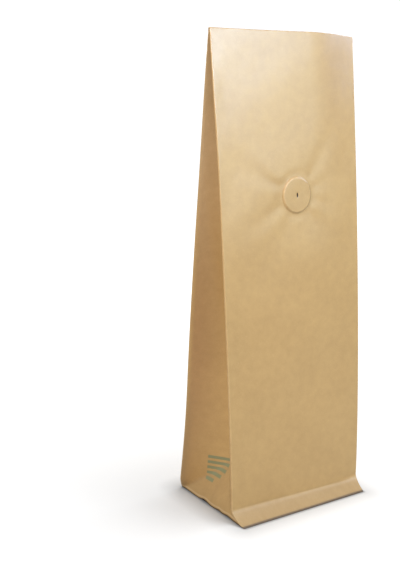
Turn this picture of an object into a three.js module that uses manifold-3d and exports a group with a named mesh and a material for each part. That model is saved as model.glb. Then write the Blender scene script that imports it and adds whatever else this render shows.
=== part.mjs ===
// Flat-bottom paper bag, shut and standing, with a round one-way valve on its front panel.
// Millimetres, +Z up, front panel facing -Y, origin at the centre of the base.
// The body is one closed surface: an outline of two panels and two folded gussets, carried up
// from a box base with a flared hem to a flat pressed top.

import * as THREE from 'three';
import { ParametricGeometry } from 'three/addons/geometries/ParametricGeometry.js';
import { mergeVertices } from 'three/addons/utils/BufferGeometryUtils.js';
import Module from 'manifold-3d';

// Overall sizes
const BAG_HEIGHT = 283;
const TOP_WIDTH = 105.2;
const BASE_WIDTH = 99.6;
const WIDTH_SWELL = 1;
const BODY_DEPTH = 53;
const TOP_THICKNESS = 1.6;
const TAPER_POWER = 1.33;

// Hem: the skirt of doubled paper round the base
const HEM_HEIGHT = 11;
const HEM_WIDTH = 95;
const HEM_DEPTH = 67.6;
const HEM_EDGE = 0.6;
const HEM_CURVE = 1.8;
const HEM_CORNER = 3.5;
const HEM_PULL = 2;
const HEM_SHIFT = 1;
const BACK_SPREAD = 27;

// Gussets: the side strips, folded inwards along a middle crease
const GUSSET_HALF = 29.5;
const BASE_TRIANGLE = 24;
const CREASE_SOFTNESS = 1.2;
const PLEAT_CLOSE = 5;
const FOLD_RADIUS = 0.9;
const FOLD_SHARE = 0.4;

// Stance: the base sits a little left of the top, and the pressed top leans and bows forwards
const LEAN_X = 2.2;
const LEAN_Y = 1.6;
const BOW_FORWARD = 4;
const BOW_RISE = 1.1;
const BOW_PEAK = 0.8;
const BOW_SOFTNESS = 0.3;
const BOW_POWER = 3;

// Valve: a disc with a rounded rim and a breathing slit
const VALVE_X = 4;
const VALVE_Z = 189.4;
const VALVE_RADIUS = 10.9;
const VALVE_PROUD = 0.8;
const VALVE_SEAT = 1.1;
const VALVE_RIM = 0.6;
const VALVE_DISH = 0.15;
const SLIT_WIDTH = 1.1;
const SLIT_LENGTH = 3;
const SLIT_DEPTH = 1;
const FIT_GAP = 0.3;

// Mesh fineness
const PANEL_COLUMNS = 20;
const GUSSET_COLUMNS = 10;
const HALF_COLUMNS = PANEL_COLUMNS + GUSSET_COLUMNS;
const HEM_ROWS = 6;
const BODY_ROWS = 32;
const TOP_ROWS = 2;
const ROW_CROWDING = 1.3;
const EDGE_CROWDING = 0.9 * Math.PI / 2;
const VALVE_SEGMENTS = 36;
const CURVE_STEPS = 4;
const BASE_SPINE_INSET = 12;
const TOP_SPINE_INSET = 0.8;
const MERGE_DISTANCE = 1e-3;

const PAPER_COLOUR = 0xc4a26e;
const VALVE_COLOUR = 0xc9a874;

const { clamp, lerp } = THREE.MathUtils;
const wasm = await Module();
wasm.setup();

// Smaller of two lengths, with the corner between them rounded over a span
function softMin(a, b, span) {
  const mix = clamp(0.5 + (b - a) / (2 * span), 0, 1);
  return lerp(b, a, mix) - span * mix * (1 - mix);
}

// Share of the way from the top of the hem to the top of the bag
function climb(z) {
  return clamp((z - HEM_HEIGHT) / (BAG_HEIGHT - HEM_HEIGHT), 0, 1);
}

// How far the hem has opened out: nothing at its top, all of it on the floor
function flare(z, height = HEM_HEIGHT) {
  return clamp(1 - z / height, 0, 1) ** HEM_CURVE;
}

function halfWidth(z) {
  const swell = WIDTH_SWELL * Math.sin(Math.PI * climb(z));
  return lerp(lerp(BASE_WIDTH, TOP_WIDTH, climb(z)) + swell, HEM_WIDTH, flare(z)) / 2;
}

function bodyHalfDepth(z) {
  return lerp(BODY_DEPTH, TOP_THICKNESS, climb(z) ** TAPER_POWER) / 2;
}

// Reach of the front panel (side 1) or the back panel (side -1) from the middle. The front hem
// is creased, and the back spreads into its hem from higher up.
function panelReach(z, side) {
  const spread = side > 0 ? flare(z) : flare(z, BACK_SPREAD);
  return bodyHalfDepth(z) + spread * (HEM_DEPTH - BODY_DEPTH) / 2;
}

// Radius of the fold between a panel and a gusset, wide at the hem and tight in the pressed top
function foldRadius(z) {
  return Math.min(lerp(FOLD_RADIUS, HEM_CORNER, flare(z)), FOLD_SHARE * bodyHalfDepth(z));
}

// Depth of a gusset inside the bag's side, for -1 at its front edge to 1 at its rear edge.
// The strip keeps its width, so the crease goes in as the bag gets thinner. At the base it is
// spread flat into a triangle, and at the pressed top the pleat closes. On the floor the hem is
// pulled in between its corners.
function gussetDepth(across, z) {
  const crease = (height) => Math.sqrt(GUSSET_HALF ** 2 - bodyHalfDepth(height) ** 2);
  const pleat = crease(z) * (1 - Math.abs(across));
  const triangle = crease(BASE_TRIANGLE) * z / BASE_TRIANGLE;
  const closing = GUSSET_HALF * (BAG_HEIGHT - z) / PLEAT_CLOSE;
  const folded = softMin(pleat, Math.min(triangle, closing), CREASE_SOFTNESS);
  return Math.max(folded, 0) + HEM_PULL * flare(z) * (1 - across ** 4);
}

// Forward bow of the pressed top, as a share: two straight runs that meet right of the middle
function bow(x, z) {
  const across = clamp(x / halfWidth(z), -1, 1) / 2 + 0.5;
  const rise = softMin(across / BOW_PEAK, (1 - across) / (1 - BOW_PEAK), BOW_SOFTNESS);
  return rise * climb(z) ** BOW_POWER;
}

// Moves a point of the straight bag to its place on the leaning, bowed one
function stand(point) {
  const { x, z } = point;
  point.y -= BOW_FORWARD * bow(x, z) + LEAN_Y * z / BAG_HEIGHT;
  point.z += BOW_RISE * bow(x, z);
  point.x += HEM_SHIFT * flare(z) - LEAN_X * (1 - z / BAG_HEIGHT);
  return point;
}

// Point of the bag's outline at one height. The first half of the columns is the front panel
// and the right gusset, and the second half is the same line turned half round.
function outlinePoint(column, z, point) {
  const side = column % (2 * HALF_COLUMNS) < HALF_COLUMNS ? 1 : -1;
  const step = column % HALF_COLUMNS;
  const radius = foldRadius(z);
  const width = halfWidth(z);
  if (step <= PANEL_COLUMNS) {
    const share = 2 * step / PANEL_COLUMNS - 1;
    const across = Math.sin(EDGE_CROWDING * share) / Math.sin(EDGE_CROWDING);
    const overFold = clamp(Math.abs(across) * width - (width - radius), 0, radius);
    const drop = radius - Math.sqrt(radius ** 2 - overFold ** 2);
    return point.set(side * across * width, side * (drop - panelReach(z, side)), z);
  }
  const across = side * (2 * (step - PANEL_COLUMNS) / GUSSET_COLUMNS - 1);
  const reach = panelReach(z, -Math.sign(across)) - radius;
  return point.set(side * (width - gussetDepth(across, z)), across * reach, z);
}

// Heights of the rows of points, crowded towards the base where the folds are
function rowHeights() {
  const heights = [0];
  for (let row = 0; row < HEM_ROWS; row += 1) {
    heights.push(lerp(HEM_EDGE, HEM_HEIGHT, row / HEM_ROWS));
  }
  const bodyTop = BAG_HEIGHT - PLEAT_CLOSE;
  for (let row = 0; row < BODY_ROWS; row += 1) {
    heights.push(lerp(HEM_HEIGHT, bodyTop, (row / BODY_ROWS) ** ROW_CROWDING));
  }
  for (let row = 0; row <= TOP_ROWS; row += 1) {
    heights.push(lerp(bodyTop, BAG_HEIGHT, row / TOP_ROWS));
  }
  return heights;
}

// Keeps positions only, joins equal points and drops triangles that have lost their area
function closedGeometry(geometry) {
  const bare = new THREE.BufferGeometry();
  bare.setAttribute('position', geometry.getAttribute('position'));
  bare.setIndex(geometry.getIndex());
  const joined = mergeVertices(bare, MERGE_DISTANCE);
  const corners = joined.getIndex().array;
  const kept = [];
  for (let i = 0; i < corners.length; i += 3) {
    const [a, b, c] = corners.slice(i, i + 3);
    if (a !== b && b !== c && c !== a) kept.push(a, b, c);
  }
  joined.setIndex(kept);
  return joined;
}

function toSolid(geometry) {
  const closed = closedGeometry(geometry);
  return new wasm.Manifold(new wasm.Mesh({
    numProp: 3,
    vertProperties: new Float32Array(closed.getAttribute('position').array),
    triVerts: new Uint32Array(closed.getIndex().array),
  }));
}

function toGeometry(solid) {
  const mesh = solid.getMesh();
  const geometry = new THREE.BufferGeometry();
  geometry.setAttribute('position', new THREE.BufferAttribute(mesh.vertProperties, mesh.numProp));
  geometry.setIndex(new THREE.BufferAttribute(mesh.triVerts, 1));
  geometry.computeVertexNormals();
  return geometry;
}

// Skin of the whole bag. The first and last rows draw the outline in to a line along the
// middle, which closes the base and the top.
function bagSkin() {
  const heights = rowHeights();
  const rows = heights.length + 1;
  const columns = 2 * HALF_COLUMNS;
  const baseReach = halfWidth(0) - HEM_PULL - BASE_SPINE_INSET;
  const topReach = halfWidth(BAG_HEIGHT) - TOP_SPINE_INSET;
  return new ParametricGeometry((u, v, point) => {
    const row = Math.round(v * rows);
    const column = Math.round(u * columns) % columns;
    const z = heights[clamp(row - 1, 0, heights.length - 1)];
    outlinePoint(column, z, point);
    if (row === 0) point.set(clamp(point.x, -baseReach, baseReach), 0, z);
    if (row === rows) point.set(clamp(point.x, -topReach, topReach), 0, z);
    stand(point);
  }, columns, rows);
}

// Frame of the front panel where the valve sits: +Z out of the paper, +Y up the panel
function valvePlace() {
  const onPanel = (x, z) => stand(new THREE.Vector3(x, -panelReach(z, 1), z));
  const centre = onPanel(VALVE_X, VALVE_Z);
  const right = onPanel(VALVE_X + 1, VALVE_Z).sub(centre).normalize();
  const up = onPanel(VALVE_X, VALVE_Z + 1).sub(centre);
  const out = right.clone().cross(up).normalize();
  up.copy(out).cross(right);
  return new THREE.Matrix4().makeBasis(right, up, out).setPosition(centre);
}

// Turned disc whose axis is +Z, from its seat in the paper to its proud face
function valveDisc() {
  const face = new THREE.Path();
  face.moveTo(0, -VALVE_SEAT);
  face.lineTo(VALVE_RADIUS, -VALVE_SEAT);
  face.lineTo(VALVE_RADIUS, VALVE_PROUD - VALVE_RIM);
  face.absarc(VALVE_RADIUS - VALVE_RIM, VALVE_PROUD - VALVE_RIM, VALVE_RIM, 0, Math.PI / 2);
  face.quadraticCurveTo(VALVE_RADIUS / 2, VALVE_PROUD - VALVE_DISH, 0, VALVE_PROUD - VALVE_DISH);
  return new THREE.LatheGeometry(face.getPoints(CURVE_STEPS), VALVE_SEGMENTS).rotateX(Math.PI / 2);
}

// Upright slot with round ends, cut down into the disc's face
function valveSlit() {
  const straight = (SLIT_LENGTH - SLIT_WIDTH) / 2;
  const slot = new THREE.Shape();
  slot.absarc(0, straight, SLIT_WIDTH / 2, 0, Math.PI);
  slot.absarc(0, -straight, SLIT_WIDTH / 2, Math.PI, 2 * Math.PI);
  const cut = { depth: 2 * SLIT_DEPTH, bevelEnabled: false, curveSegments: CURVE_STEPS };
  const bottom = VALVE_PROUD - VALVE_DISH - SLIT_DEPTH;
  return new THREE.ExtrudeGeometry(slot, cut).translate(0, 0, bottom);
}

// Round seat that the disc lies in, clear of it all round
function valveSeat() {
  const depth = VALVE_SEAT + FIT_GAP;
  const radius = VALVE_RADIUS + FIT_GAP;
  const seat = new THREE.CylinderGeometry(radius, radius, 2 * depth, VALVE_SEGMENTS);
  return seat.rotateX(Math.PI / 2);
}

function makeBag(place) {
  const seat = toSolid(valveSeat().applyMatrix4(place));
  const paper = new THREE.MeshStandardMaterial({ color: PAPER_COLOUR, roughness: 0.6, metalness: 0 });
  const bag = new THREE.Mesh(toGeometry(toSolid(bagSkin()).subtract(seat)), paper);
  bag.name = 'bag';
  return bag;
}

function makeValve(place) {
  const face = new THREE.MeshStandardMaterial({ color: VALVE_COLOUR, roughness: 0.5, metalness: 0 });
  const valve = new THREE.Mesh(toGeometry(toSolid(valveDisc()).subtract(toSolid(valveSlit()))), face);
  valve.name = 'valve';
  valve.applyMatrix4(place);
  return valve;
}

const place = valvePlace();
const flatBottomBag = new THREE.Group();
flatBottomBag.add(makeBag(place), makeValve(place));

// The origin is the middle of the box round the bag, on the floor
const box = new THREE.Box3().setFromObject(flatBottomBag);
flatBottomBag.position.set(-(box.min.x + box.max.x) / 2, -(box.min.y + box.max.y) / 2, -box.min.z);

export default flatBottomBag;
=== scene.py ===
# %% [markdown]
# # A flat-bottom paper bag with a one-way valve
# The bag is one tube of kraft paper: two panels, and two side strips folded inwards along a middle
# crease. The base is squared off with a flared hem, and the top is pressed flat. The solid model
# gives the fixed frame, and everything below is made in that place and at that size. Shapes are
# worked out in millimetres and turned into metres when a mesh is made.

# %% Load the frame
from math import radians

import bmesh
import bpy
import numpy as np
from mathutils import Matrix, Vector


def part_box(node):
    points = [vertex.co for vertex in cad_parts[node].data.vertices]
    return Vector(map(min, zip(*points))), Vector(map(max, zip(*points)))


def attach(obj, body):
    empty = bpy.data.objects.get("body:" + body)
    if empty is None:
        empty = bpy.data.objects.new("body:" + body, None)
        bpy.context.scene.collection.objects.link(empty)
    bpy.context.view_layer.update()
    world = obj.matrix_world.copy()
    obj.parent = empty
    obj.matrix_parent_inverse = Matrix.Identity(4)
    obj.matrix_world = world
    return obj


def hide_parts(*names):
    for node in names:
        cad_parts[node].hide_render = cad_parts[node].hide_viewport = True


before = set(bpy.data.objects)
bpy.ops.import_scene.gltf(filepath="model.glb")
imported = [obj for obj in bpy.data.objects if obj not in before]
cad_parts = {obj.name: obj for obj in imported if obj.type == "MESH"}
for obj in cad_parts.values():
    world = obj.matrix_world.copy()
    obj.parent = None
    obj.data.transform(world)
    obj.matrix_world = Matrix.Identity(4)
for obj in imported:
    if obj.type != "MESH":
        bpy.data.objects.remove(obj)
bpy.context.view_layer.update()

MM = 0.001


# %% [markdown]
# ## The bag's sizes
# A few driving sizes describe the bag, as in the solid model: its height and widths, its depth at the
# base and in the pressed top, and its hem. Typing each size once, and measuring the depth over the hem
# on the solid, keeps the dressed bag and the solid in step.

# %% Driving sizes
BAG_HEIGHT = 283.0
TOP_WIDTH = 105.2
BASE_WIDTH = 99.6
WIDTH_SWELL = 1.0
BODY_DEPTH = 53.0
TOP_THICKNESS = 1.6
TAPER_POWER = 1.33
HEM_HEIGHT = 11.0
HEM_WIDTH = 96.0
HEM_DEPTH = (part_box("bag")[1].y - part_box("bag")[0].y) / MM
print(f"bag {TOP_WIDTH} wide, {BAG_HEIGHT} tall, {HEM_DEPTH:.1f} deep over the hem")

# %% [markdown]
# ## Blending
# Paper has no sudden steps: a crease runs out into the flat sheet, and a fold fades along its length.
# Four small blends say that in numbers, and every shape and mask below is put together from them.

# %% Blending helpers
def mix(start, end, share):
    """Start plus the given share of the way to the end."""
    return start + (end - start) * share


def smooth_step(low, high, value):
    """0 below low, 1 above high, and 3t squared less 2t cubed between, t being the share of the way."""
    share = np.clip((value - low) / (high - low), 0, 1)
    return share * share * (3 - 2 * share)


def soft_min(a, b, span):
    """The smaller of two lengths, less a small parabola where they are within a span of each other."""
    share = np.clip(0.5 + (b - a) / (2 * span), 0, 1)
    return mix(b, a, share) - span * share * (1 - share)


def bell(distance, spread):
    """A bump of height 1: e to the power of minus the squared distance over the spread."""
    return np.exp(-(distance / spread) ** 2)


print("a smooth step in quarters:", smooth_step(0, 1, np.linspace(0, 1, 5)).round(2))

# %% [markdown]
# ## How the outline changes with height
# At any height the bag is cut in an outline of two panels and two gussets. Boxes could be modelled and
# bent. Here each measure of that outline is a small function of the height z instead, so the whole side
# of the bag is one smooth loft.

# %% Width and depth at a height
FLARE_HEIGHT = 8.6
HEM_CURVE = 1.8


def climb(z):
    """Share of the way from the top of the hem to the top of the bag, held between 0 and 1."""
    return np.clip((z - HEM_HEIGHT) / (BAG_HEIGHT - HEM_HEIGHT), 0, 1)


def flare(z, height=FLARE_HEIGHT, curve=HEM_CURVE):
    """How far the hem has opened: the share still to fall to the floor, raised to the hem's curve."""
    return np.clip(1 - z / height, 0, 1) ** curve


def half_width(z):
    """Half of base width to top width with a slight swell between, narrowing to the hem's width."""
    body = mix(BASE_WIDTH, TOP_WIDTH, climb(z)) + WIDTH_SWELL * np.sin(np.pi * climb(z))
    return mix(body, HEM_WIDTH, flare(z)) / 2


def half_depth(z):
    """Half of body depth to top thickness, along the share climbed raised to the taper power."""
    return mix(BODY_DEPTH, TOP_THICKNESS, climb(z) ** TAPER_POWER) / 2


heights = np.array([0.0, HEM_HEIGHT, BAG_HEIGHT / 2, BAG_HEIGHT])
print("half widths at four heights:", half_width(heights).round(1))

# %% [markdown]
# ## The hem's spread
# The hem is a doubled flap that is turned out on the floor. On the front it has a crease, which gets lower
# from left to right. The back has no crease and only spreads slowly over its lower part. A separate
# strip could be modelled for the flap, but adding the spread to each panel's reach keeps the paper in
# one piece, as it is on the real bag.

# %% Reach of the panels
HEM_SPREAD = (HEM_DEPTH - BODY_DEPTH) / 2
HEM_OUT = 2.1
BACK_OUT = -1.0
BACK_SPREAD = 75.0
BACK_CURVE = 2.0
SWEEP_HEIGHTS = (8.5, 6.0)
SWEEP_CURVE = 1.6
SWEEP_INSET = 0.35


def panel_reach(z, side, share=1.0):
    """Half depth plus the hem's spread, to the front (side 1) or to the back (side -1).

    Across the front the hem's own flare at the folds (share 1 or -1) turns into the sweep of the flap."""
    if side < 0:
        return half_depth(z) + flare(z, BACK_SPREAD, BACK_CURVE) * (HEM_SPREAD + BACK_OUT)
    sweep = flare(z, mix(*SWEEP_HEIGHTS, (share + 1) / 2), SWEEP_CURVE)
    spread = mix(flare(z), sweep, smooth_step(0, SWEEP_INSET, 1 - np.abs(share)))
    return half_depth(z) + spread * (HEM_SPREAD + HEM_OUT)


print("front reach at four heights:", panel_reach(heights, 1).round(1))

# %% [markdown]
# ## Folded edges
# A folded edge of laminated paper is a tight bend, not a knife edge. The bend is widest at the hem and
# tightest in the pressed top, where it can't be thicker than the paper stack. Low on the back edges the
# paper is only rolled round, so that bend is wider.

# %% Panels with rounded folds
FOLD_RADIUS = 0.6
HEM_CORNER = 1.2
FOLD_SHARE = 0.4
BACK_ROLL = 0.8
BACK_ROLL_TOP = 120.0


def fold_radius(z, side):
    """From the fold's radius to the hem corner's with the flare, plus the roll low on the back."""
    radius = mix(FOLD_RADIUS, HEM_CORNER, flare(z))
    if side < 0:
        radius = radius + BACK_ROLL * (1 - smooth_step(0, BACK_ROLL_TOP, z)) * (1 - flare(z))
    return np.minimum(radius, FOLD_SHARE * half_depth(z))


def panel_points(share, z, side):
    """Straight across at the panel's reach, and a quarter circle of the fold's radius at each end."""
    width = half_width(z)
    radius = fold_radius(z, side)
    x = share * width
    over_fold = np.clip(np.abs(x) - (width - radius), 0, radius)
    drop = radius - np.sqrt(radius ** 2 - over_fold ** 2)
    return x, -side * (panel_reach(z, side, share) - drop)


print("fold radius at four heights:", fold_radius(heights, 1).round(2))

# %% [markdown]
# ## Gussets
# Each side strip keeps its width all the way up. Where the bag is deep the strip lies nearly flat, and
# as the bag gets thinner its middle crease has to go further in, like a closing book. At the base it is
# pulled flat into a triangle, and in the pressed top the book is shut.

# %% Gusset depth
GUSSET_HALF = 32.5
BASE_TRIANGLE = 27.0
CREASE_SOFTNESS = 1.0
CREASE_ROUND = 0.02
EDGE_ROUND = 0.03
PLEAT_CLOSE = 1.5
LIP = 0.2
HEM_PULL = 0.3


def gusset_faces(share, z, edge_round):
    """Depths of the pleat and of the base triangle, the shallower of which is the paper's face.

    The pleat's crease is the third side of a right triangle of half strip and half depth, and its depth
    goes with the share left to the edge. The base triangle's depth grows evenly from the floor."""
    def crease(height):
        return np.sqrt(GUSSET_HALF ** 2 - half_depth(height) ** 2)

    to_edge = 1 - np.hypot(share, CREASE_ROUND)
    pleat = crease(z) * (np.hypot(to_edge, edge_round) - edge_round)
    return pleat, crease(BASE_TRIANGLE) * z / BASE_TRIANGLE


def gusset_depth(share, z, edge_round):
    """The shallower face with a soft crease, shut at the lip, and a hem pulled in by a quartic."""
    pleat, triangle = gusset_faces(share, z, edge_round)
    closing = GUSSET_HALF * (BAG_HEIGHT - LIP - z) / PLEAT_CLOSE
    folded = soft_min(pleat, np.minimum(triangle, closing), CREASE_SOFTNESS)
    return np.maximum(folded, 0) + HEM_PULL * flare(z) * (1 - share ** 4)


print("crease goes in by", gusset_depth(np.zeros(4), heights, EDGE_ROUND).round(1))


# %% Gusset points
def gusset_points(share, z, side):
    """Inwards from the side by the gusset's depth, and in y the share of the nearer panel's reach."""
    def nearer(measure):
        return np.where(share < 0, measure(z, 1), measure(z, -1))

    radius = nearer(fold_radius)
    reach = nearer(panel_reach) - radius
    return side * (half_width(z) - gusset_depth(share, z, radius / reach)), share * reach


print("x of the right crease:", gusset_points(np.zeros(4), heights, 1)[0].round(1))

# %% [markdown]
# ## How the bag stands
# The real bag doesn't stand like a drawing: its base sits a little left of its top, it leans forwards by
# a hair, its left side is tucked in, and the pressed top bows forwards in two straight runs that meet
# right of the middle. One function moves every point of the straight bag to its place, so panels and
# gussets stay joined.

# %% Stance
LEAN_X = 2.2
LEAN_Y = 1.6
HEM_SHIFT = 0.5
BOW_FORWARD = 4.0
BOW_RISE = 1.1
BOW_PEAK = 0.77
BOW_SOFTNESS = 0.7
BOW_BEND = 1.4
BOW_POWER = 3.0
SETTLE_X = 0.1
TUCK = 1.1
TUCK_TOP = (190, 283)


def bow(x, z):
    """The smaller of a rise from the left and a fall to the right, bent a little, times the climb cubed."""
    share = np.clip(x / half_width(z), -1, 1) / 2 + 0.5
    rise = soft_min(share / BOW_PEAK, (1 - share) / (1 - BOW_PEAK), BOW_SOFTNESS)
    return np.maximum(rise, 0) ** BOW_BEND * climb(z) ** BOW_POWER


def stand(x, y, z):
    """Shifts x by the lean and the hem's shift, and moves y and z by the bow and the forward lean.

    Below the pressed top the left side is tucked in, by a share that falls to nothing at the right."""
    lift = bow(x, z)
    tuck = TUCK * (0.5 - 0.5 * x / half_width(z)) * (1 - smooth_step(*TUCK_TOP, z))
    new_x = x + SETTLE_X + tuck + HEM_SHIFT * flare(z) - LEAN_X * (1 - z / BAG_HEIGHT)
    new_y = y - BOW_FORWARD * lift - LEAN_Y * z / BAG_HEIGHT
    return np.stack([new_x, new_y, z + BOW_RISE * lift], axis=-1)


print("the middle of the top stands at", stand(0.0, 0.0, BAG_HEIGHT).round(1).tolist())

# %% [markdown]
# ## Puckers round the valve
# The valve's disc is welded behind the paper while the paper is flat, and the paper shrinks a little
# round it. It gathers in soft folds that run out from the disc like the rays of a clock. They could be
# sculpted, but a fold is easy to say in numbers: an hour on the clock, a height, a half width, a reach,
# and how far it runs beside its ray. Plus is a ridge towards the viewer, minus is a valley.

# %% Radial folds
VALVE_X = 2.9
VALVE_Z = 189.45
VALVE_RADIUS = 10.5
PUCKERS = (
    # hour, height, half width, reach, distance beside its ray
    (12.6, -0.10, 2.2, 14, 0),
    (1.1, -0.38, 3.2, 42, 3),
    (2.35, -0.22, 3.0, 14, 0),
    (3.0, 0.10, 2.8, 18, 0),
    (3.95, 0.20, 2.4, 34, 0),
    (4.75, -0.14, 2.4, 30, 0),
    (6.3, 0.08, 3.6, 16, 0),
    (7.5, 0.10, 3.0, 40, 0),
    (8.15, -0.22, 3.0, 46, 0),
    (9.3, 0.10, 3.0, 34, 0),
    (9.75, -0.18, 2.2, 42, 0),
    (10.35, 0.20, 2.6, 38, 0),
    (11.3, 0.03, 4.0, 26, 0),
)
HOUR = radians(30)
PUCKER_START = 6.0
PUCKER_SPREAD = 0.12
DISH_DEPTH = 0.10
DISH_WIDTH = 2.2


def pucker_relief(x, z):
    """Sum of folds: a bell across each ray, rising just off the disc and fading over the fold's reach.

    A narrow dish round the disc's foot is taken away from the sum."""
    right = x - VALVE_X
    up = z - VALVE_Z
    relief = -DISH_DEPTH * bell(np.hypot(right, up) - VALVE_RADIUS - DISH_WIDTH, DISH_WIDTH)
    for hour, height, half, reach, aside in PUCKERS:
        angle = HOUR * hour
        along = right * np.sin(angle) + up * np.cos(angle)
        beside = right * np.cos(angle) - up * np.sin(angle) - aside
        out = along - VALVE_RADIUS
        start = smooth_step(0, PUCKER_START, out)
        relief = relief + height * start * bell(beside, half + PUCKER_SPREAD * out) * bell(out, reach)
    return relief


ray = VALVE_X + VALVE_RADIUS + np.array([2.0, 8.0, 20.0])
print(len(PUCKERS), "folds, and at three o'clock a relief of", pucker_relief(ray, VALVE_Z).round(2))

# %% [markdown]
# ## Waves in the sheet
# No sheet of paper is flat. It carries long soft waves from being filled and handled, and a fine cockle
# that only shows where light rakes over it. Both are sums of a few plane waves with seeded directions,
# which is smoother than random points and looks the same on every run.

# %% Sheet waves
WAVE_COUNT = 14
LENGTH_SPREAD = (0.7, 1.5)
LONG_WAVE = (62.0, 0.16)
COCKLE = (11.0, 0.012)


def sheet_waves(u, v, length, height, seed):
    """Sum of sines of random heading, length and phase, each as high as the height over root count."""
    dice = np.random.default_rng(seed)
    total = np.zeros(np.broadcast(u, v).shape)
    for _ in range(WAVE_COUNT):
        heading = dice.uniform(0, np.pi)
        turn = 2 * np.pi / (length * dice.uniform(*LENGTH_SPREAD))
        phase = dice.uniform(0, 2 * np.pi)
        total = total + np.sin(turn * (u * np.cos(heading) + v * np.sin(heading)) + phase)
    return total * height / np.sqrt(WAVE_COUNT)


print("long waves at four heights:", sheet_waves(0, heights, *LONG_WAVE, 1).round(2))

# %% Relief of panels and gussets
PANEL_SEEDS = {1: 5, -1: 11}
EDGE_CALM = 9.0
TOP_CALM = 3.0
STRIP_CALM = 0.25
CREASE_CALM = 0.2
GUSSET_TOP_CALM = 6.0


def panel_relief(x, z, side):
    """Long waves plus cockle, plus the puckers on the front, calmed at the folds and in the top."""
    calm = smooth_step(0, EDGE_CALM, half_width(z) - np.abs(x)) * smooth_step(0, TOP_CALM, half_depth(z))
    seed = PANEL_SEEDS[side]
    relief = sheet_waves(x, z, *LONG_WAVE, seed) + sheet_waves(x, z, *COCKLE, seed + 1)
    if side > 0:
        relief = relief + pucker_relief(x, z)
    return calm * relief


def gusset_relief(share, z, seed):
    """Long waves along the strip, calmed at the two folded edges, at the crease and in the top."""
    calm = smooth_step(0, STRIP_CALM, 1 - np.abs(share)) * smooth_step(0, CREASE_CALM, np.abs(share))
    waves = sheet_waves(share * GUSSET_HALF, z, *LONG_WAVE, seed)
    return calm * smooth_step(0, GUSSET_TOP_CALM, half_depth(z)) * waves


print("relief up the middle of the front:", panel_relief(np.zeros(4), heights, 1).round(2))

# %% [markdown]
# ## Where the grid needs points
# A regular grid would waste points on the plain middle of a panel and starve the folds. The columns and
# rows are spaced along a running sum instead, so they crowd in where the paper bends: at the folds, the
# hem, the base triangles, the valve and the pressed top.

# %% Columns and rows
PANEL_COLUMNS = 108
GUSSET_COLUMNS = 34
BODY_ROWS = 285
HEM_EDGE = 0.5
FINE_STEPS = 6000


def crowded(count, low, high, *bunches):
    """Numbers from low to high at even steps of a running sum of 1 plus a bell at each bunch.

    A bunch is its middle, its spread and how many more points it gets."""
    fine = np.linspace(low, high, FINE_STEPS)
    weight = 1 + sum(extra * bell(fine - middle, spread) for middle, spread, extra in bunches)
    running = np.append(0, np.cumsum(weight[1:] + weight[:-1]))
    return np.interp(np.linspace(0, running[-1], count), running, fine)


valve_share = VALVE_X / half_width(VALVE_Z)
panel_share = crowded(PANEL_COLUMNS, -1, 1, (-1, 0.03, 9), (1, 0.03, 9), (valve_share, 0.4, 0.9))
gusset_share = crowded(GUSSET_COLUMNS + 2, -1, 1, (-1, 0.08, 3), (1, 0.12, 3), (0, 0.08, 3))[1:-1]
row_z = crowded(
    BODY_ROWS, HEM_EDGE, BAG_HEIGHT - LIP,
    (0, 6, 3), (HEM_HEIGHT, 5, 1.5), (BASE_TRIANGLE, 10, 1), (VALVE_Z, 26, 1.2), (BAG_HEIGHT, 3, 5),
)
print(f"{2 * PANEL_COLUMNS + 2 * GUSSET_COLUMNS} columns round the bag and {BODY_ROWS} rows up it")

# %% [markdown]
# ## The skin of the bag
# The four strips are laid side by side in one array: front panel, right gusset, back panel and left
# gusset. Relief is added straight out of each strip, and the stance is applied last. Because it is one
# array, neighbouring strips share their folds and there are no seams to hide.

# %% Loop of strips
FRONT = slice(0, PANEL_COLUMNS)
RIGHT = slice(FRONT.stop, FRONT.stop + GUSSET_COLUMNS)
BACK = slice(RIGHT.stop, RIGHT.stop + PANEL_COLUMNS)
LEFT = slice(BACK.stop, BACK.stop + GUSSET_COLUMNS)


def bag_loop(z):
    """Points of the straight bag's outline at heights z, a row for each height, strip after strip."""
    strips = (
        panel_points(panel_share, z, 1),
        gusset_points(gusset_share, z, 1),
        panel_points(panel_share[::-1], z, -1),
        gusset_points(gusset_share[::-1], z, -1),
    )
    return [np.concatenate(part, axis=1) for part in zip(*strips)]


body_z = row_z[:, None]
body_x, body_y = bag_loop(body_z)
print(f"loops from {np.ptp(body_x[0]):.1f} x {np.ptp(body_y[0]):.1f} to {np.ptp(body_x[-1]):.1f} wide")

# %% Relief round the loop
RIGHT_SEED = 21
LEFT_SEED = 31

relief_x = np.zeros_like(body_x)
relief_y = np.zeros_like(body_x)
relief_y[:, FRONT] = -panel_relief(body_x[:, FRONT], body_z, 1)
relief_y[:, BACK] = panel_relief(body_x[:, BACK], body_z, -1)
relief_x[:, RIGHT] = gusset_relief(gusset_share, body_z, RIGHT_SEED)
relief_x[:, LEFT] = -gusset_relief(gusset_share[::-1], body_z, LEFT_SEED)
body_x = body_x + relief_x
body_y = body_y + relief_y
body_z = np.broadcast_to(body_z, body_x.shape)
print(f"relief of the panels from {relief_y.min():.2f} to {relief_y.max():.2f}")

# %% [markdown]
# ## Hem, base and lip
# The hem isn't glued to the floor: its left side waves and lifts by a millimetre or two, with a dark gap
# under it. Below it the base panel is set in, so the bag stands on a ring. At the top the front and back
# plies are pressed together with a fine groove between them. These are rows too: the base rows shrink
# the hem's outline to a line along the middle, and the lip rows do the same on top.

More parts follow.
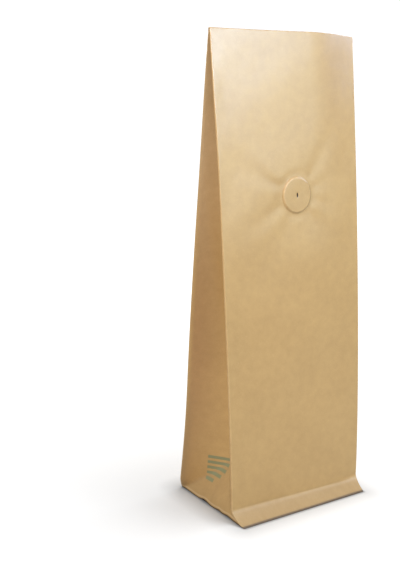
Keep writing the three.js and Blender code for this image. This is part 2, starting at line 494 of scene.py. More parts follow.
# %% Base rows
HEM_LIFT = 1.6
EDGE_GAP = 0.1
LIFTED_SIDE = (0.8, 0.97)
LIFTS = ((6.0, 4.0, 1.0), (-9.0, 2.5, 0.5), (-19.0, 3.5, 0.55), (27.0, 8.0, 0.45))
BASE_INSET = 14.0
BASE_RISE = 1.0
BASE_SHARES = np.append(np.linspace(0, 0.9, 16), [0.95, 1.0])[:, None]
RING_SHARE = 0.78
RING_SOFTNESS = 0.08
TRIANGLE_RISE = 0.4
TRIANGLE_SOFTNESS = 1.5


def hem_lift(x, y):
    """A small gap all round, plus the left side's waves: bells along y of a place, a spread and a share."""
    left_side = smooth_step(*LIFTED_SIDE, -x / (HEM_WIDTH / 2))
    wave = sum(share * bell(y - middle, spread) for middle, spread, share in LIFTS)
    return EDGE_GAP + left_side * HEM_LIFT * wave


def base_fold(x, y):
    """Raises the two end triangles under the base by the thickness of the folded paper."""
    inwards = np.abs(x) + HEM_DEPTH / 2 - np.abs(y) - HEM_WIDTH / 2
    return TRIANGLE_RISE * smooth_step(-TRIANGLE_SOFTNESS, TRIANGLE_SOFTNESS, inwards)


floor_x, floor_y = bag_loop(np.zeros((1, 1)))
spine_reach = HEM_WIDTH / 2 - BASE_INSET
base_x = mix(np.clip(floor_x, -spine_reach, spine_reach), floor_x, BASE_SHARES)
base_y = floor_y * BASE_SHARES
inside = 1 - smooth_step(RING_SHARE - RING_SOFTNESS, RING_SHARE, BASE_SHARES)
outside = smooth_step(RING_SHARE, 1, BASE_SHARES)
base_z = inside * (BASE_RISE + base_fold(base_x, base_y)) + outside * hem_lift(base_x, base_y)
hem_fade = np.clip(1 - row_z[:, None] / HEM_HEIGHT, 0, 1) ** 2
body_z = body_z + hem_fade * hem_lift(body_x, body_y)
print(f"hem lifts by up to {hem_lift(floor_x, floor_y).max():.1f}")

# %% Lip rows
LIP_SHARES = np.array([0.82, 0.5, 0.3, 0.0])[:, None]
LIP_DROPS = np.array([0.0, 0.0, -0.3, -1.6])[:, None]
LIP_INSET = 0.8
LIP_GIVE = 0.6

top_x, top_y = bag_loop(np.full((1, 1), BAG_HEIGHT - LIP))
top_reach = half_width(BAG_HEIGHT) - LIP_INSET + LIP_GIVE * LIP_SHARES
lip_x = np.clip(top_x, -top_reach, top_reach)
lip_y = top_y * LIP_SHARES
lip_z = np.broadcast_to(BAG_HEIGHT + LIP_DROPS, lip_x.shape)

stacks = zip((base_x, base_y, base_z), (body_x, body_y, body_z), (lip_x, lip_y, lip_z))
skin = stand(*(np.concatenate(stack) for stack in stacks))
print("skin grid", skin.shape[:2], "from", skin.min((0, 1)).round(1), "to", skin.max((0, 1)).round(1))

# %% [markdown]
# ## From grid to mesh
# A grid becomes a mesh with one quad for each cell. The last column joins the first, and the rows at the
# ends are lines whose doubles are merged, so the skin is watertight. Each corner also gets a place on the
# flat sheet, as a UV map in metres, and each vertex gets masks that the materials use later.

# %% Mesh helper
MERGE = 1e-7


def grid_piece(name, points, sheet_u, sheet_v, masks):
    """Quads of neighbouring grid points, closed round the columns, with doubles merged.

    sheet_u and sheet_v have one more column than the points, for the far side of the closing quads."""
    rows, across = points.shape[:2]
    here = np.arange(rows * across).reshape(rows, across)
    beside = np.roll(here, -1, axis=1)
    quads = np.stack([here[:-1], beside[:-1], beside[1:], here[1:]], axis=-1).reshape(-1, 4)
    mesh = bpy.data.meshes.new(name)
    mesh.from_pydata(points.reshape(-1, 3) * MM, [], quads)
    sheet = np.stack([sheet_u, sheet_v], axis=-1) * MM
    corners = np.stack([sheet[:-1, :-1], sheet[:-1, 1:], sheet[1:, 1:], sheet[1:, :-1]], axis=2)
    mesh.uv_layers.new(name="sheet").data.foreach_set("uv", corners.astype(np.float32).ravel())
    for mask, values in masks.items():
        attribute = mesh.attributes.new(mask, "FLOAT", "POINT")
        attribute.data.foreach_set("value", values.astype(np.float32).ravel())
    shape = bmesh.new()
    shape.from_mesh(mesh)
    bmesh.ops.remove_doubles(shape, verts=shape.verts, dist=MERGE)
    shape.to_mesh(mesh)
    shape.free()
    mesh.shade_smooth()
    piece = bpy.data.objects.new(name, mesh)
    bpy.context.scene.collection.objects.link(piece)
    edge_of_corner = np.empty(len(mesh.loops), np.int32)
    mesh.loops.foreach_get("edge_index", edge_of_corner)
    open_edges = np.count_nonzero(np.bincount(edge_of_corner, minlength=len(mesh.edges)) != 2)
    triangles = len(mesh.loops) - 2 * len(mesh.polygons)
    print(f"{name}: {triangles} triangles, {open_edges} open edges")
    return piece


print(f"points within {MERGE / MM:.4f} of each other are merged")

# %% [markdown]
# ## Places on the flat sheet
# Before it is folded the bag is a flat sheet, and every grid point has a place on it. Unwrapping the mesh
# by hand could give that map. Here the four strips are simply laid out one after the other.

# %% Sheet places
LIP_ROW = 0.5

half_round = TOP_WIDTH + 2 * GUSSET_HALF
half_u = np.append(panel_share * TOP_WIDTH / 2, TOP_WIDTH / 2 + (gusset_share + 1) * GUSSET_HALF)
strip_u = np.concatenate([half_u, half_u + half_round, half_u[:1] + 2 * half_round])
base_v = (BASE_SHARES[:, 0] - 1) * HEM_DEPTH / 2
lip_v = BAG_HEIGHT + LIP_ROW * np.arange(len(LIP_SHARES))
row_v = np.concatenate([base_v, row_z, lip_v])
sheet_u, sheet_v = np.meshgrid(strip_u, row_v)
print(f"the sheet is {2 * half_round:.0f} round and {np.ptp(row_v):.0f} up")

# %% [markdown]
# ## Folds and edges as masks
# Paper shows its history along its folds: fibres lift and look paler on a sharp edge, and a cut edge shows
# the pale inside of the sheet. Along with that wear the pale folds carry a painted highlight, the creases
# and a strip low along the back folds get painted shade, and a thin dark line of painted contact shadow
# runs along the foot of the hem. Such marks could be painted by hand. Worked out from the grid's own
# parameters they follow the folds exactly.

# %% Distances from the folds
TRIANGLE_EDGE = 1.0
FLOOR_FADE = 2.0


def strip_mask(panel, gusset):
    """Lays a mask for the panels and one for the right gusset round the bag, the left one mirrored."""
    rows = len(row_v)
    panel = np.broadcast_to(panel, (rows, PANEL_COLUMNS))
    gusset = np.broadcast_to(gusset, (rows, GUSSET_COLUMNS))
    return np.concatenate([panel, gusset, panel, gusset[:, ::-1]], axis=1)


above = row_v[:, None]
off_floor = smooth_step(0, FLOOR_FADE, above)
panel_edge = (1 - np.abs(panel_share)) * TOP_WIDTH / 2
gusset_edge = (1 - np.abs(gusset_share)) * GUSSET_HALF
pleat_face, triangle_face = gusset_faces(gusset_share, above, EDGE_ROUND)
facet = smooth_step(-TRIANGLE_EDGE, TRIANGLE_EDGE, pleat_face - triangle_face)
print(f"base triangles have {facet.mean():.0%} of the gussets' points")

# %% Fold masks
FOLD_PALE_SPREAD = 0.7
MIDDLE_DARK = 0.25
MIDDLE_WIDTH = 1.2
TRIANGLE_DARK = 0.5
TRIANGLE_WIDTH = 0.8
REAR_WIDTH = 5.0
REAR_TOP = (30, 95)
CUT_UP = 1.2
CUT_WIDTH = 0.5
TOP_CUT = (-0.4, 0.2)
LINE_WIDTH = 0.25
LINE_END = -2

# Pale folds: partly wear, partly a painted highlight along the bend.
wear_and_highlight = strip_mask(bell(panel_edge, FOLD_PALE_SPREAD), bell(gusset_edge, FOLD_PALE_SPREAD)) * off_floor
# Painted shade: darker in the gusset's middle crease, along the base triangles' edges and in a strip low on
# the back folds.
middle_crease = MIDDLE_DARK * bell(gusset_share * GUSSET_HALF, MIDDLE_WIDTH)
triangle_crease = TRIANGLE_DARK * bell(pleat_face - triangle_face, TRIANGLE_WIDTH)
rear_fold_shade = bell((1 - gusset_share) * GUSSET_HALF, REAR_WIDTH) * (1 - smooth_step(*REAR_TOP, above))
crease_shade = np.maximum(np.maximum(middle_crease, triangle_crease), rear_fold_shade) * off_floor
crease_shade = strip_mask(0, crease_shade)
hem_cut = bell(above - HEM_EDGE - CUT_UP, CUT_WIDTH)
hem_cut = strip_mask(hem_cut, hem_cut)
hem_cut[:, FRONT] = 0
cut_edge = np.maximum(hem_cut, smooth_step(*TOP_CUT, above - BAG_HEIGHT))
# Painted contact shadow: a thin dark line along the foot of the hem.
hem_contact_shadow = bell(np.maximum(above - HEM_EDGE, 0), LINE_WIDTH) * (above > LINE_END)
hem_contact_shadow = strip_mask(hem_contact_shadow, hem_contact_shadow)
print(f"worn {wear_and_highlight.mean():.1%} and pressed {crease_shade.mean():.1%} on average")

# %% [markdown]
# ## Painted light and shade as masks
# These masks paint light and shade into the sheet's colour. The gussets get painted light inside them,
# painted shade towards the back fold and a bluish painted light towards the top. The flap of the hem and
# the base triangles get painted shade and a duller, scuffed roughness. A few smooth steps across the
# strips and up the rows are enough for such broad, soft areas.

# %% Tint masks
GUSSET_FADE = 4
GUSSET_TOP = (170, 260)
GUSSET_TOP_LOSS = 0.7
FACET_LOSS = 0.8
REAR_ACROSS = (0.1, 0.95)
REAR_START = 0.6
REAR_GAIN = 0.4
REAR_LOSS = 0.5
REAR_LOW = (30, 90)
REAR_HIGH = (90, 200)
TOP_LIGHT_EDGE = 2
TOP_LIGHT_UP = (120, 240)
FLAP_TINT = (0.8, 1.0)
FLAP_EDGE = (0.6, 1.25)
FACET_SCUFF_AND_SHADE = 0.4

top_part = 1 - GUSSET_TOP_LOSS * smooth_step(*GUSSET_TOP, above)
in_gusset = smooth_step(0, GUSSET_FADE, gusset_edge) * top_part * (1 - FACET_LOSS * facet)
# Painted light inside the gussets.
gusset_light = strip_mask(0, in_gusset)
rear_part = REAR_START + REAR_GAIN * smooth_step(*REAR_LOW, above)
rear_part = rear_part - REAR_LOSS * smooth_step(*REAR_HIGH, above)
# Painted shade towards the back fold of each gusset.
rear_shade = strip_mask(0, smooth_step(*REAR_ACROSS, gusset_share) * in_gusset * rear_part)
# Painted light, bluish, towards the top of the gussets.
gusset_top_light = strip_mask(0, smooth_step(0, TOP_LIGHT_EDGE, gusset_edge) * smooth_step(*TOP_LIGHT_UP, above))
# Painted shade on the hem's flap and the base triangles; the same mask also makes them rougher as scuffs.
rightwards = (panel_share + 1) / 2
up_flap = above / mix(*SWEEP_HEIGHTS, rightwards)
flap = mix(*FLAP_TINT, rightwards) * (1 - smooth_step(*FLAP_EDGE, up_flap)) * (above >= 0)
scuff_and_shade = strip_mask(flap, FACET_SCUFF_AND_SHADE * facet)
scuff_and_shade[:, BACK] = 0
print(f"faded {gusset_top_light.mean():.1%} and scuffed {scuff_and_shade.mean():.1%} on average")

# %% Bag mesh
masks = {
    "wear_and_highlight": wear_and_highlight, "crease_shade": crease_shade, "cut_edge": cut_edge, "gusset_light": gusset_light,
    "rear_shade": rear_shade, "gusset_top_light": gusset_top_light, "scuff_and_shade": scuff_and_shade, "hem_contact_shadow": hem_contact_shadow,
}
skin_piece = grid_piece("bag_skin", skin, sheet_u, sheet_v, masks)

# %% [markdown]
# ## The valve
# The valve is a thin plastic disc behind the paper, so what shows is a round plateau with a rounded
# shoulder and a short dark slit. A cylinder primitive would have a hard edge and no slit. Here a profile
# is carried round the middle: its inner rings are ovals that open into circles, so the slit is part of
# the same surface. Every point is set on the panel itself and raised along the panel's own normal.

# %% Valve profile
VALVE_PROUD = 0.75
SHOULDER = 0.9
SHOULDER_RINGS = 13
FACE_START = 1.2
FACE_RINGS = 18
FOOT = 0.5
REST_GAP = 0.02
SLIT_FLOOR = 0.1
SLIT_EDGE = 0.2
SLIT_DROPS = (0.12, 0.02)
UNDERSIDE = 1.0


def valve_profile():
    """Rings of the disc as radius and height: slit wall, its edge, plateau, smooth shoulder, underside."""
    plateau = VALVE_RADIUS - SHOULDER
    turn = np.linspace(0, 1, SHOULDER_RINGS)[1:]
    face = np.linspace(FACE_START, plateau, FACE_RINGS)
    shoulder_r = plateau + turn * (SHOULDER + FOOT)
    shoulder_h = VALVE_PROUD * (1 - smooth_step(0, 1, turn)) + REST_GAP
    radius = np.concatenate([[0, 0, 0, SLIT_EDGE], face, shoulder_r, [plateau, UNDERSIDE, 0]])
    slit_h = np.append([SLIT_FLOOR, SLIT_FLOOR], VALVE_PROUD - np.array(SLIT_DROPS))
    height = np.concatenate([slit_h, np.full_like(face, VALVE_PROUD), shoulder_h, [REST_GAP / 2] * 3])
    return radius[:, None], height[:, None]


ring_r, ring_h = valve_profile()
print(f"{len(ring_r)} rings out to {ring_r.max():.1f}, {ring_h.max():.2f} proud")

# %% Place on the panel
SLOPE_STEP = 0.05


def on_front(x, z):
    """Place on the front panel and its normal, from the slopes of the standing panel by differences."""
    def spot(right, up):
        return stand(right, -panel_reach(up, 1) - panel_relief(right, up, 1), up)

    across = spot(x + SLOPE_STEP, z) - spot(x - SLOPE_STEP, z)
    upwards = spot(x, z + SLOPE_STEP) - spot(x, z - SLOPE_STEP)
    normal = np.cross(across, upwards)
    return spot(x, z), normal / np.linalg.norm(normal, axis=-1, keepdims=True)


print("valve's middle and its normal:", *(v.round(2) for v in on_front(VALVE_X, VALVE_Z)))

# %% Valve mesh
VALVE_COLUMNS = 160
SLIT_WIDTH = 0.85
SLIT_LENGTH = 2.6
OVAL_END = 4
RIM_WIDTH = 0.4
RIM_LEAST = 0.25
HIGHLIGHT_FROM = radians(140)


def closed(grid):
    """The grid with its first column once more at the end."""
    return np.concatenate([grid, grid[:, :1]], axis=1)


angle = np.linspace(0, 2 * np.pi, VALVE_COLUMNS, endpoint=False)
oval = np.clip(1 - ring_r / OVAL_END, 0, 1)
oval[[0, -1]] = 0
disc_x = (ring_r + oval * SLIT_WIDTH / 2) * np.cos(angle)
disc_z = (ring_r + oval * SLIT_LENGTH / 2) * np.sin(angle)
place, normal = on_front(VALVE_X + disc_x, VALVE_Z + disc_z)
disc = place + normal * ring_h[..., None]
slit_mask = np.broadcast_to(ring_r < SLIT_EDGE, disc_x.shape)
# The rim is paler all round from wear, and most on its upper left, where a highlight is painted.
lit_side = mix(RIM_LEAST, 1.0, np.clip(np.cos(angle - HIGHLIGHT_FROM), 0, 1))
rim_wear_and_highlight = bell(ring_r - VALVE_RADIUS + SHOULDER / 2, RIM_WIDTH) * lit_side
valve_piece = grid_piece(
    "valve_disc", disc[::-1], VALVE_X + closed(disc_x)[::-1], VALVE_Z + closed(disc_z)[::-1],
    {"wear_and_highlight": rim_wear_and_highlight[::-1], "slit": slit_mask[::-1]},
)

# %% [markdown]
# ## Node helpers
# Materials are graphs of nodes. A few small helpers keep the graphs readable: one adds a node with its
# settings, and one starts a node group with named inputs and outputs, so an effect is built once and
# placed in several materials with different values. The others are sums that come up often.

# %% Node and group helpers
def add_node(tree, kind, inputs=None, **settings):
    """Adds a node. A value in inputs is set on the socket, and another node's socket is linked to it."""
    node = tree.nodes.new(kind)
    for name, value in settings.items():
        setattr(node, name, value)
    for name, value in (inputs or {}).items():
        if isinstance(value, bpy.types.NodeSocket):
            tree.links.new(value, node.inputs[name])
        else:
            node.inputs[name].default_value = value
    return node


def start_group(name, inputs, outputs):
    """Starts a node group on a sheet, whose inputs are {name: value} and whose outputs are values."""
    group = bpy.data.node_groups.new(name, "ShaderNodeTree")
    group.interface.new_socket("Sheet", in_out="INPUT", socket_type="NodeSocketVector")
    for title, value in inputs.items():
        socket = group.interface.new_socket(title, in_out="INPUT", socket_type="NodeSocketFloat")
        socket.default_value = value
    for title in outputs:
        group.interface.new_socket(title, in_out="OUTPUT", socket_type="NodeSocketFloat")
    print(f"group {name} turns Sheet, {', '.join(inputs)} into {', '.join(outputs)}")
    return group, add_node(group, "NodeGroupInput").outputs


print("nodes and sockets of Blender", bpy.app.version_string)


# %% Sums with nodes
def calculate(tree, operation, first, second):
    """One operation on two numbers or sockets, as a Math node."""
    return add_node(tree, "ShaderNodeMath", {0: first, 1: second}, operation=operation).outputs[0]


def vector_step(tree, operation, first, second=(0, 0, 0)):
    """One operation on two vectors or sockets, as a Vector Math node. A length is a value."""
    node = add_node(tree, "ShaderNodeVectorMath", {0: first, 1: second}, operation=operation)
    return node.outputs["Value" if operation == "LENGTH" else "Vector"]


def ramp(tree, value, low, high, to_low=0.0, to_high=1.0):
    """Maps a value from low..high to the new range, held at its ends, as a Map Range node."""
    limits = {"Value": value, "From Min": low, "From Max": high, "To Min": to_low, "To Max": to_high}
    return add_node(tree, "ShaderNodeMapRange", limits).outputs["Result"]


def noise(tree, place, scale, detail):
    """A Noise Texture's value at a place, with blotches about one over the scale long."""
    given = {"Vector": place, "Scale": scale, "Detail": detail}
    return add_node(tree, "ShaderNodeTexNoise", given).outputs[0]


def mask_of(tree, name):
    """The value of one of the mesh's masks, as an Attribute node."""
    return add_node(tree, "ShaderNodeAttribute", attribute_name=name).outputs["Fac"]


print("masks to read:", ", ".join(masks))

# %% [markdown]
# ## Kraft fibres
# Unbleached kraft is a mat of fibres. Close up it shows short pale strokes in all directions, dark
# flecks, a cloudy density from the paper machine, and a fine tooth. A photo texture would tie the finish
# to one size; stretched noise at real fibre size works on every piece.

# %% Fibre group
FIBRE_LENGTH = 2.4 * MM
FIBRE_WIDTH = 0.16 * MM
FIBRE_TURNS = (0.3, 1.25, 2.4)
STROKE_AMOUNT = 0.5
STROKE_RANGE = (0.58, 0.72)
FLECK_RANGE = (0.66, 0.76)
CLOUD_RANGE = (0.7, 1.3)


def fibre_group():
    """Stretched noise in three headings makes strokes, two noises clouds, one each the flecks and tooth."""
    outputs = ("Strokes", "Flecks", "Clouds", "Tooth")
    group, given = start_group("kraft fibres", {"Stroke amount": STROKE_AMOUNT}, outputs)
    sheet = given["Sheet"]
    size = (1 / FIBRE_LENGTH, 1 / FIBRE_WIDTH, 1)
    strokes = 0.0
    for turn in FIBRE_TURNS:
        turned = add_node(group, "ShaderNodeMapping", {"Vector": sheet, "Rotation": (0, 0, turn)})
        stretched = add_node(group, "ShaderNodeMapping", {"Vector": turned.outputs[0], "Scale": size})
        line = ramp(group, noise(group, stretched.outputs[0], scale=1, detail=2), *STROKE_RANGE)
        strokes = calculate(group, "MAXIMUM", strokes, line)
    strokes = calculate(group, "MULTIPLY", strokes, given["Stroke amount"])
    broad = noise(group, sheet, scale=34, detail=4)
    clouds = calculate(group, "ADD", broad, noise(group, sheet, scale=190, detail=3))
    add_node(group, "NodeGroupOutput", {
        "Strokes": strokes,
        "Flecks": ramp(group, noise(group, sheet, scale=1100, detail=1), *FLECK_RANGE),
        "Clouds": ramp(group, clouds, *CLOUD_RANGE),
        "Tooth": calculate(group, "ADD", noise(group, sheet, scale=2600, detail=2), strokes),
    })
    return group


KRAFT_FIBRES = fibre_group()

# %% [markdown]
# ## Worn edges with a painted highlight
# A fold is never worn evenly: the rub breaks up along its length. The same pale mark also paints a
# highlight on the fold. The group takes a smooth mask and breaks it with noise, so the same effect
# serves the bag's folds and the rim of the valve.

# %% Wear and highlight group
PALE_BREAK_RANGE = (0.3, 0.65)
PALE_BREAK_LEAST = 0.25


def wear_and_highlight_group():
    """The mask times a noise of blotches a few millimetres long, times the amount."""
    group, given = start_group("edge wear and highlight", {"Mask": 0.0, "Amount": 0.5}, ("Rub and highlight",))
    blotches = noise(group, given["Sheet"], scale=260, detail=3)
    broken = ramp(group, blotches, *PALE_BREAK_RANGE, PALE_BREAK_LEAST, 1.0)
    rub_and_highlight = calculate(group, "MULTIPLY", calculate(group, "MULTIPLY", given["Mask"], broken), given["Amount"])
    add_node(group, "NodeGroupOutput", {"Rub and highlight": rub_and_highlight})
    return group


EDGE_WEAR_AND_HIGHLIGHT = wear_and_highlight_group()

# %% [markdown]
# ## The paper's finish
# The paper is a satin laminate: warm brown, slightly glossy, with a haze where a lamp is mirrored. Its
# colour is laid in layers, from the plain sheet through clouds, strokes and flecks to pale folds, which
# are partly wear and partly a painted highlight. The clouds also vary the roughness a little, and the
# tooth is a very low bump. The numbers that are the same all over stay on the shader's own sockets.

# %% Start of a paper material
SATIN = 0.75


def start_paper(name, rub_and_highlight_amount):
    """New material with the two shared groups placed in it, on the sheet's own coordinates."""
    material = bpy.data.materials.new(name)
    material.use_nodes = True
    tree = material.node_tree
    tree.nodes["Principled BSDF"].inputs["Specular IOR Level"].default_value = SATIN
    sheet = add_node(tree, "ShaderNodeUVMap", uv_map="sheet").outputs[0]
    fibres = add_node(tree, "ShaderNodeGroup", {"Sheet": sheet}, node_tree=KRAFT_FIBRES).outputs
    rub_and_highlight_inputs = {"Sheet": sheet, "Mask": mask_of(tree, "wear_and_highlight"), "Amount": rub_and_highlight_amount}
    rub_and_highlight = add_node(tree, "ShaderNodeGroup", rub_and_highlight_inputs, node_tree=EDGE_WEAR_AND_HIGHLIGHT).outputs["Rub and highlight"]
    return material, tree, sheet, fibres, rub_and_highlight


print("specular level of both papers:", SATIN)

# %% Paper colour, roughness and bump
PAPER = (0.42, 0.267, 0.1, 1)
PAPER_DEEP = (0.364, 0.225, 0.08, 1)
STROKE_PALE = (0.58, 0.39, 0.19, 1)
FLECK_DARK = (0.27, 0.14, 0.055, 1)
FOLD_PALE = (0.66, 0.47, 0.27, 1)
GLOSS_RANGE = (0.28, 0.32)
TOOTH_DEPTH = 0.002 * MM


def layer(tree, under, over, share, blend="MIX"):
    """Lays one colour over another by a mask, as a Mix node. The blend MULTIPLY tints instead."""
    colours = {0: share, 6: under, 7: over}
    return add_node(tree, "ShaderNodeMix", colours, data_type="RGBA", blend_type=blend).outputs[2]


def paint(tree, under, over, mask, strength):
    """Lays a colour over another by a mask times a strength."""
    return layer(tree, under, over, calculate(tree, "MULTIPLY", mask, strength))


def paper_colour(tree, fibres, rub_and_highlight):
    """Sheet colour under clouds, pale strokes, dark flecks and pale folds of wear and painted highlight."""
    colour = paint(tree, PAPER, PAPER_DEEP, fibres["Clouds"], strength=0.9)
    colour = paint(tree, colour, STROKE_PALE, fibres["Strokes"], strength=0.5)
    colour = paint(tree, colour, FLECK_DARK, fibres["Flecks"], strength=0.15)
    return layer(tree, colour, FOLD_PALE, rub_and_highlight)


def finish_paper(tree, colour, fibres, mask, dullness):
    """Links the colour, a roughness from the clouds that a mask makes duller, and the tooth's bump."""
    rough = ramp(tree, fibres["Clouds"], 0, 1, *GLOSS_RANGE)
    rough = calculate(tree, "ADD", rough, calculate(tree, "MULTIPLY", mask, dullness))
    bump = add_node(tree, "ShaderNodeBump", {"Height": fibres["Tooth"], "Distance": TOOTH_DEPTH})
    shader = tree.nodes["Principled BSDF"]
    for name, socket in (("Base Color", colour), ("Roughness", rough), ("Normal", bump.outputs[0])):
        tree.links.new(socket, shader.inputs[name])


print("paper from", PAPER[:3], "to", PAPER_DEEP[:3])

# %% [markdown]
# ## Plain print
# The bag has a little plain print low on the left gusset: five bars of dull green ink. An image could be
# laid on the sheet, but a bar is only a distance from its middle, so a few sums on the sheet's
# coordinates print it sharply at any size.

# %% Printed bars
BAR_HALF = 0.95
BAR_BLEED = 0.2
BARS = ((250, 26.5, 6.5), (250, 23, 6.5), (250, 19.5, 6.5), (249, 16, 5.5), (247.5, 12.5, 4))


def printed_bars(tree, sheet):
    """Mask of plain bars: 1 where both distances from a bar's middle are within its half sides.

    A bar is the place of its middle round and up the sheet, and its half length."""
    def within(distance, half):
        return ramp(tree, distance, (half - BAR_BLEED) * MM, (half + BAR_BLEED) * MM, 1, 0)

    printed = 0.0
    for middle_u, middle_v, half_u in BARS:
        offset = vector_step(tree, "SUBTRACT", sheet, (middle_u * MM, middle_v * MM, 0))
        apart = add_node(tree, "ShaderNodeSeparateXYZ", {0: vector_step(tree, "ABSOLUTE", offset)}).outputs
        bar = calculate(tree, "MULTIPLY", within(apart["X"], half_u), within(apart["Y"], BAR_HALF))
        printed = calculate(tree, "ADD", printed, bar)
    return printed


print(f"{len(BARS)} bars, each {2 * BAR_HALF} high")

# %% [markdown]
# ## Kraft paper
# On the bag the paper colour is first tinted with painted light inside the gussets and towards their tops,
# and with painted shade towards the back folds, on the hem's flap and on the base triangles. Then painted
# crease shade, print, cut edges and a painted contact shadow along the foot of the hem are laid over it.
# A tint multiplies, so the fibres still show through, and paint covers.

# %% Kraft material
# Tints of painted light inside the gussets and towards their tops, and of painted shade towards the back
# folds, on the hem's flap and on the base triangles.
TINTS = {
    "gusset_light": (1.13, 1.13, 1.11, 1),
    "rear_shade": (0.76, 0.67, 0.66, 1),
    "gusset_top_light": (1.34, 1.5, 2.2, 1),
    "scuff_and_shade": (0.78, 0.81, 0.88, 1),
}
CREASE_SHADE = (0.24, 0.14, 0.06, 1)
INK = (0.17, 0.2, 0.105, 1)
CUT_PALE = (0.72, 0.56, 0.36, 1)
HEM_SHADOW = (0.06, 0.035, 0.02, 1)
FOLD_WEAR_AND_HIGHLIGHT = 0.25
SCUFF_DULLNESS = 0.5


def kraft_finish():
    """Paper colour times painted light and shade, under painted crease shade, plain print, pale cut edges
    and a painted hem shadow.
    """
    material, tree, sheet, fibres, rub_and_highlight = start_paper("satin_kraft", FOLD_WEAR_AND_HIGHLIGHT)
    colour = paper_colour(tree, fibres, rub_and_highlight)
    for mask, tint in TINTS.items():
        colour = layer(tree, colour, tint, mask_of(tree, mask), "MULTIPLY")
    # Painted shade in the creases and low along the back folds.
    colour = paint(tree, colour, CREASE_SHADE, mask_of(tree, "crease_shade"), strength=0.6)
    colour = paint(tree, colour, INK, printed_bars(tree, sheet), strength=0.85)
    colour = paint(tree, colour, CUT_PALE, mask_of(tree, "cut_edge"), strength=0.3)
    # Painted contact shadow along the foot of the hem.
    colour = paint(tree, colour, HEM_SHADOW, mask_of(tree, "hem_contact_shadow"), strength=0.85)
    finish_paper(tree, colour, fibres, mask_of(tree, "scuff_and_shade"), SCUFF_DULLNESS)
    return material


def give(piece, material):
    """Puts a material on a piece and prints how many nodes it has."""
    piece.data.materials.append(material)
    print(f"{piece.name} has {material.name}, with {len(material.node_tree.nodes)} nodes")


give(skin_piece, kraft_finish())

# %% [markdown]
# ## Valve face
# The same paper runs over the disc, with its rim paler all round from wear and a painted highlight on its
# upper left. Only the slit is different: it is painted near black as the shade in the hole, and made
# duller.

# %% Valve material
# The slit's near black is painted shade in the hole.
SLIT_SHADE = (0.012, 0.007, 0.004, 1)
RIM_WEAR_AND_HIGHLIGHT = 0.8
SLIT_DULLNESS = 0.6


def valve_finish():
    """Paper colour with a worn rim and a painted highlight, and the slit's painted shade over it."""
    material, tree, _, fibres, rub_and_highlight = start_paper("pressed_kraft", RIM_WEAR_AND_HIGHLIGHT)
    slit = mask_of(tree, "slit")
    colour = layer(tree, paper_colour(tree, fibres, rub_and_highlight), SLIT_SHADE, slit)
    finish_paper(tree, colour, fibres, slit, SLIT_DULLNESS)
    return material


give(valve_piece, valve_finish())

# %% [markdown]
# ## Placing the pieces in the frame
# Each piece rides on the one body of the model and stands for its solid. The solids stay in the file for
# contact and weight, hidden behind the dressed pieces.

# %% Ride and replace
for piece, node, slot in ((skin_piece, "bag", "kraft_paper"), (valve_piece, "valve", "valve_face")):
    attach(piece, "root")
    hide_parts(node)
    print(piece.name, "stands for", node)

# %% [markdown]
# ## Floor
# A plain pale floor, wide enough that its edge is never seen. A plane would do, but a disc of rings can
# use the same grid helper as the other pieces.

# %% Floor mesh
FLOOR_RINGS = np.array([6000.0, 1500.0, 300.0, 0.0])[:, None]
FLOOR_COLUMNS = 64

floor_turn = np.linspace(0, 2 * np.pi, FLOOR_COLUMNS, endpoint=False)
flat_x = FLOOR_RINGS * np.cos(floor_turn)
flat_y = FLOOR_RINGS * np.sin(floor_turn)
flat = np.stack([flat_x, flat_y, np.zeros_like(flat_x)], axis=-1)
floor = grid_piece("pale_floor", flat, closed(flat_x), closed(flat_y), {})

# %% [markdown]
# ## Floor finish
# A studio table burns out to white in a picture, so the floor gets a little glow that only the camera
# sees. Both the glow and the floor's tone fall off towards the bag's footprint, which paints a contact
# shadow round the bag, deepening the soft shadow beside it, and a dark shade in the gap under the hem. A
# brighter lamp could burn the floor out too, but the light that the floor throws back would wash out the
# paper.

# %% Floor material
# The dark first tone under and just round the footprint is painted shadow, and so is the glow's fall
# towards it.
FLOOR_TONES = (0.06, 0.55)
FLOOR_ROUGH = 0.9
FOOTPRINT_INSET = np.array([1.6, 1.0, 0])
TONE_REACH = 0.003
NEAR_GLOW = 0.48
NEAR_REACH = 0.018
NEAR_CURVE = 0.5
FAR_GLOW = 0.4
FAR_REACH = (0.03, 0.5)


def off_footprint(tree):
    """Distance along the floor from the oblong under the hem: 0 inside it, in metres outside it."""
    hem = skin[len(BASE_SHARES) - 1]
    low = hem.min(0)
    high = hem.max(0)
    half = (high - low) / 2 - FOOTPRINT_INSET
    spot = add_node(tree, "ShaderNodeTexCoord").outputs["Object"]
    spot = vector_step(tree, "SUBTRACT", spot, Vector((low + high) / 2 * MM))
    spot = vector_step(tree, "SUBTRACT", vector_step(tree, "ABSOLUTE", spot), Vector(half * MM))
    spot = vector_step(tree, "MULTIPLY", vector_step(tree, "MAXIMUM", spot), (1, 1, 0))
    return vector_step(tree, "LENGTH", spot)


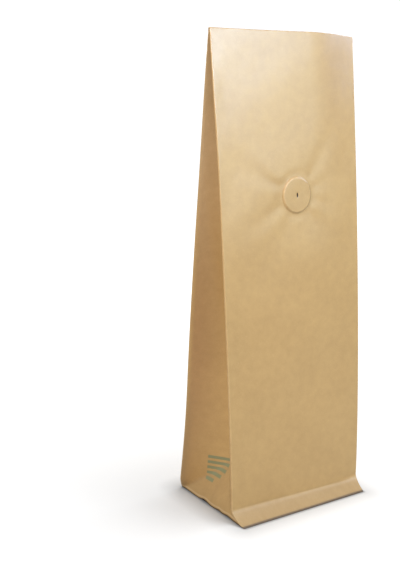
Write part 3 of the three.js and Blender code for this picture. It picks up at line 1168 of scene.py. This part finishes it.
def floor_finish():
    """A tone and a glow that rise with the distance from the footprint and so paint a shadow near it, the
    glow for the camera alone.
    """
    material = bpy.data.materials.new("pale_floor")
    material.use_nodes = True
    tree = material.node_tree
    shader = tree.nodes["Principled BSDF"].inputs
    shader["Roughness"].default_value = FLOOR_ROUGH
    shader["Specular IOR Level"].default_value = 0.0
    shader["Emission Color"].default_value = (1, 1, 1, 1)
    away = off_footprint(tree)
    near = calculate(tree, "POWER", ramp(tree, away, 0, NEAR_REACH), NEAR_CURVE)
    near = calculate(tree, "MULTIPLY", near, NEAR_GLOW)
    glow = calculate(tree, "ADD", near, ramp(tree, away, *FAR_REACH, 0, FAR_GLOW))
    seen = add_node(tree, "ShaderNodeLightPath").outputs["Is Camera Ray"]
    tree.links.new(ramp(tree, away, 0, TONE_REACH, *FLOOR_TONES), shader["Base Color"])
    tree.links.new(calculate(tree, "MULTIPLY", seen, glow), shader["Emission Strength"])
    return material


give(floor, floor_finish())

# %% [markdown]
# ## Room
# The picture has the even light of a product table. A box of white walls could be built, but a world
# colour does the same, and the camera can see it brighter than it lights, as a burnt-out backdrop.

# %% White room
ROOM = 0.44
BACKDROP = 1.15

world = bpy.data.worlds.new("white_room")
world.use_nodes = True
seen = add_node(world.node_tree, "ShaderNodeLightPath").outputs["Is Camera Ray"]
sky = world.node_tree.nodes["Background"].inputs
sky["Color"].default_value = (1, 1, 1, 1)
world.node_tree.links.new(ramp(world.node_tree, seen, 0, 1, ROOM, BACKDROP), sky["Strength"])
bpy.context.scene.world = world
print(f"room lights at {ROOM} and shows at {BACKDROP}")

# %% [markdown]
# ## Lamps
# Front and middle lamps give the satin haze on the upper front panel, and a low and a right one fill the
# rest of it. A warm lamp on the left reaches into the gusset, two more light the right side and the back,
# and one overhead is for the floor. Each lamp is linked to what it is there for, so that the front lamps
# throw no long shadow over the white floor.

# %% Soft lamps
LAMP_TARGET = Vector((0, 0, 240)) * MM
LAMPS = (
    # name, what it lights, degrees right of the front, degrees up, distance, side, power, colour
    ("front_softbox", "bag_pieces", 20, 21, 0.8, 0.2, 2.75, (0.7, 1, 1.33)),
    ("middle_softbox", "bag_pieces", 8, 20, 0.8, 0.2, 1.7, (1.3, 1, 1)),
    ("low_softbox", "bag_pieces", 32, 10, 0.9, 0.4, 1.35, (0.83, 1, 0.85)),
    ("right_softbox", "bag_pieces", 62, 24, 0.9, 0.3, 1.95, (0.74, 1, 1.55)),
    ("left_softbox", "bag_pieces", -70, 24, 0.8, 0.3, 6.0, (1, 0.92, 0.82)),
    ("side_softbox", "bag_pieces", 100, 20, 0.9, 0.4, 3.0, (1.1, 1, 0.85)),
    ("back_softbox", "bag_pieces", 165, 22, 0.9, 0.5, 8.0, (1, 0.98, 0.95)),
    ("overhead", "floor_pieces", 60, 68, 1.2, 0.9, 16.0, (1, 1, 1)),
)


def soft_lamp(name, lights, right, up, distance, side, power, colour):
    """A square lamp at two angles and a distance from the target, turned to face it."""
    lamp = bpy.data.lights.new(name, "AREA")
    lamp.size = side
    lamp.energy = power
    lamp.color = colour
    holder = bpy.data.objects.new(name, lamp)
    bpy.context.scene.collection.objects.link(holder)
    holder.light_linking.receiver_collection = bpy.data.collections[lights]
    level = np.cos(radians(up))
    way = Vector((np.sin(radians(right)) * level, -np.cos(radians(right)) * level, np.sin(radians(up))))
    holder.location = LAMP_TARGET + way * distance
    holder.rotation_euler = way.to_track_quat("Z", "Y").to_euler()
    print(name, "at", [round(value, 2) for value in holder.location])


for group_name, members in (("bag_pieces", (skin_piece, valve_piece)), ("floor_pieces", (floor,))):
    lit = bpy.data.collections.new(group_name)
    for member in members:
        lit.objects.link(member)
for lamp_settings in LAMPS:
    soft_lamp(*lamp_settings)

# %% [markdown]
# ## Camera
# The camera stands where the photographer's did: left of the bag, a little above its middle, looking down.
# It is turned by its heading, its pitch and a trace of roll, with one rotation for each.

# %% Camera at the photograph's angle
CAMERA_PLACE = (-322.78, -408.21, 236.51)
HEADING = radians(33.13)
PITCH = radians(11.24)
ROLL = radians(0.29)
LENS = 54.39

lens = bpy.data.cameras.new("photo_camera")
lens.lens = LENS
camera = bpy.data.objects.new("photo_camera", lens)
bpy.context.scene.collection.objects.link(camera)
aimed = Matrix.Rotation(-HEADING, 4, "Z") @ Matrix.Rotation(radians(90) - PITCH, 4, "X")
rolled = aimed @ Matrix.Rotation(ROLL, 4, "Z")
camera.matrix_world = Matrix.Translation(Vector(CAMERA_PLACE) * MM) @ rolled
bpy.context.scene.camera = camera
bpy.context.scene.view_settings.view_transform = "Standard"
print("camera at", [round(value, 3) for value in camera.location])
